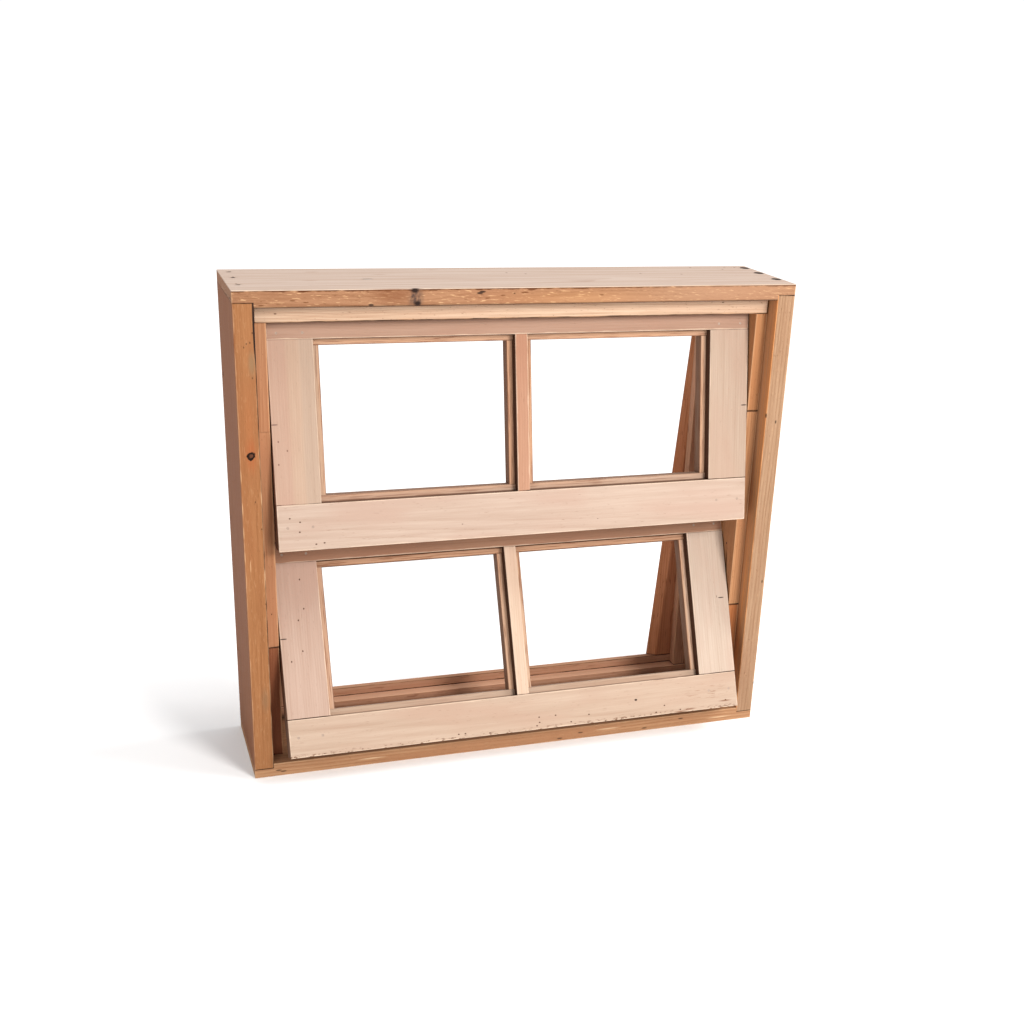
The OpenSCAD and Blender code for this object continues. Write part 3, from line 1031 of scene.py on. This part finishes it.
def middles(values):
    """Middles of the groups in a list of numbers."""
    groups = [[]]
    for value in sorted(values):
        if groups[-1] and value - groups[-1][-1] > BETWEEN_NAILS:
            groups.append([])
        groups[-1].append(value)
    return [round((group[0] + group[-1]) / 2, 1) for group in groups]


nail_corners = [v.co / MM for v in frame["nodes"]["frame_nails"].data.vertices]
nail_tops = [corner for corner in nail_corners if corner.z > FRAME_TOP - 1]
nail_xs = middles([corner.x for corner in nail_tops])
nail_ys = middles([corner.y for corner in nail_tops])
print("nails at x", nail_xs, "and y", nail_ys)


# %% Stain the head round its nails
def stain_nails(wood):
    places = on_top(*[(x, y) for x in nail_xs for y in nail_ys])
    marks(wood, places, (8, 4, 3), deeper(120, 92, 78), 0.5, 0.0)
    right = [(x + 4, y, z) for x, y, z in places if x > 0]
    marks(wood, right, (7.5, 9.5, 3), SOOT, 1.0, 0.6)


# %% [markdown]
# ## Make the boards
#
# Each board starts as a copy of its CAD shape. The copy's loose triangles are merged,
# and flat ones are dissolved into whole faces. Then its long sharp edges get a bevel.
# An edge that meets another board gets a smaller one, so that the joint stays a fine
# line. The width differs a little from edge to edge, as it does on edges that were
# eased by hand with a plane or a scrap of sandpaper.

# %% Find out which edges touch a neighbour
def solid_tree(name):
    mesh = frame["nodes"][name].data
    corners = [v.co for v in mesh.vertices]
    return BVHTree.FromPolygons(corners, [p.vertices for p in mesh.polygons])


TOUCHING = 0.3 * MM
trees = {name: solid_tree(name) for name in board_names}


def touches(point, own_name):
    for name, tree in trees.items():
        if name != own_name and tree.find_nearest(point, TOUCHING)[0] is not None:
            return True
    return False


print("each edge is compared with", len(trees) - 1, "other boards")


# %% Copy one board and clean it
SAME_PLACE = 0.01 * MM
SAME_FACE = math.radians(0.5)


def copy_board(name):
    bpy.ops.object.select_all(action="DESELECT")
    mesh = frame["nodes"][name].data.copy()
    mesh.name = name + "_wood"
    board = bpy.data.objects.new(name + "_wood", mesh)
    scene.collection.objects.link(board)
    board.select_set(True)
    bpy.context.view_layer.objects.active = board
    bpy.ops.object.mode_set(mode="EDIT")
    bpy.ops.mesh.select_all(action="SELECT")
    bpy.ops.mesh.remove_doubles(threshold=SAME_PLACE)
    bpy.ops.mesh.dissolve_limited(angle_limit=SAME_FACE)
    bpy.ops.mesh.select_all(action="DESELECT")
    bpy.ops.object.mode_set(mode="OBJECT")
    bpy.ops.mesh.customdata_custom_splitnormals_clear()
    bpy.ops.object.shade_flat()
    return board


# %% Ease its edges
ARRIS = 0.9 * MM
JOINT_SHARE = 0.35
LONGER_THAN_A_HOLE = 7 * MM
SHARP = math.radians(8)


def long_and_sharp(mesh):
    """Edges between two faces at an angle that are longer than a nail hole's."""
    faces_at = {}
    for face in mesh.polygons:
        for key in face.edge_keys:
            faces_at.setdefault(key, []).append(face)
    for edge in mesh.edges:
        faces = faces_at.get(tuple(sorted(edge.vertices)), [])
        ends = [mesh.vertices[i].co for i in edge.vertices]
        if len(faces) == 2 and (ends[1] - ends[0]).length > LONGER_THAN_A_HOLE:
            if faces[0].normal.angle(faces[1].normal, 0.0) > SHARP:
                yield edge, (ends[0] + ends[1]) / 2


def ease_edges(board, name):
    draw = random.Random(name)
    width = board.data.attributes.new("bevel_weight_edge", "FLOAT", "EDGE")
    eased = 0
    for edge, middle in long_and_sharp(board.data):
        in_joint = touches(middle, name)
        width.data[edge.index].value = JOINT_SHARE if in_joint else draw.uniform(0.75, 1.0)
        eased += 1
    bevel = board.modifiers.new("eased_edges", "BEVEL")
    bevel.limit_method = "WEIGHT"
    bevel.width = ARRIS
    bevel.segments = 2
    bevel.use_clamp_overlap = False
    bpy.ops.object.modifier_apply(modifier="eased_edges")
    bpy.ops.object.shade_flat()
    return eased


boards = {}
for name in board_names:
    boards[name] = copy_board(name)
    eased = ease_edges(boards[name], name)
    print(name, "-", eased, "edges eased,", len(boards[name].data.polygons), "faces")

# %% [markdown]
# ## Put the timber on the boards
#
# Every board now gets its wood, takes the place of its CAD part, and rides on the same
# body. The slot says which finish of the record the board shows.

# %% Finish every board
def slot_of(name):
    if body_of(name) != "frame":
        return "sash_timber"
    if name.startswith(("stop", "head_stop")):
        return "stop_timber"
    if name.startswith(("lining", "batten")):
        return "lining_timber"
    return "frame_timber"


for name in board_names:
    if body_of(name) == "frame":
        wood, front = dress_frame_board(name)
        if name in extras:
            extras[name](wood, front)
        if name == "head":
            stain_nails(wood)
    else:
        wood = dress_sash_board(name)
        if name in extras:
            extras[name](wood)
    board = boards[name]
    board.data.materials.clear()
    board.data.materials.append(wood.finish())
    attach(board, body_of(name))
    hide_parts(name)
    print(name, slot_of(name), len(wood.sheet.tree.nodes), "nodes")

# %% [markdown]
# ## Nails, brads and pins
#
# These are plain round steel, and CAD already gives them their true shape, so they keep
# it and only get a finish. Steel that has sat in damp timber turns dark and dull, with
# brown rust in patches. The brads in the front of the sashes were punched in and wiped
# over with wood dust and oil, and only a brownish dot still shows.

# %% Coat the CAD parts with a finish
def coat(names, sheet):
    for name in names:
        for place in frame["nodes"][name].material_slots:
            place.material = sheet.material
        print(name, "-", sheet.material.name)


filled = [name for name in frame["nodes"] if name in ("upper_brads", "lower_brads")]
bare = [name for name in frame["nodes"] if is_fixing(name) and name not in filled]

# %% Rusty steel
steel = Sheet("rusty_steel")
spot = steel.node("ShaderNodeTexCoord", out="Object")
rust = steel.noise(steel.scaled(spot, (MM, MM, MM)), (1.6, 1.6, 1.6), 4.0, 4)
steel_colour = steel.mix(steel.soft(rust, -0.1, 0.15), tone(34, 30, 30), tone(62, 42, 34))
steel.feed(steel.shader.inputs["Base Color"], steel_colour)
steel.feed(steel.shader.inputs["Roughness"], rust * 0.4 + 0.6)
steel.shader.inputs["Metallic"].default_value = 0.1
steel.shader.inputs["Specular IOR Level"].default_value = 0.2
coat(bare, steel)

# %% Filled brad holes
filler = Sheet("oil_and_dust_filler")
spot = filler.node("ShaderNodeTexCoord", out="Object")
grit = filler.noise(filler.scaled(spot, (MM, MM, MM)), (1.2, 1.2, 1.2), 9.0, 3)
dusty = filler.soft(grit, -0.2, 0.2)
filler_colour = filler.mix(dusty, tone(138, 116, 102), tone(158, 138, 122))
filler.feed(filler.shader.inputs["Base Color"], filler_colour)
filler.feed(filler.shader.inputs["Roughness"], grit * 0.3 + 0.7)
coat(filled, filler)

# %% [markdown]
# ## The floor
#
# The floor is a wide matt white sheet. It reaches so far that its end melts into the
# white wall, and faint patches keep it from looking computed. A sheet that only
# reflects would look grey beside the bright wall, so it also glows very slightly. The
# glow is weak enough to leave the soft shadow beside the window.

# %% Lay the floor
FLOOR_SIZE = 60
FLOOR_GLOW = 0.08

bpy.ops.object.select_all(action="DESELECT")
bpy.ops.mesh.primitive_plane_add(size=FLOOR_SIZE, location=(0, 0, 0))
floor = bpy.context.object
floor.name = "studio_floor"
ground = Sheet("white_floor")
spot = ground.node("ShaderNodeTexCoord", out="Object")
patches = ground.noise(spot, (0.4, 0.4, 0.4), 2.0) + 0.5
ground_colour = ground.mix(patches, tone(240, 240, 241), tone(245, 245, 245))
ground.feed(ground.shader.inputs["Base Color"], ground_colour)
ground.shader.inputs["Roughness"].default_value = 0.9
ground.shader.inputs["Emission Color"].default_value = (1, 1, 1, 1)
ground.shader.inputs["Emission Strength"].default_value = FLOOR_GLOW
ground.shader.inputs["Specular IOR Level"].default_value = 0.0
floor.data.materials.append(ground.material)
print("floor", FLOOR_SIZE, "m wide")
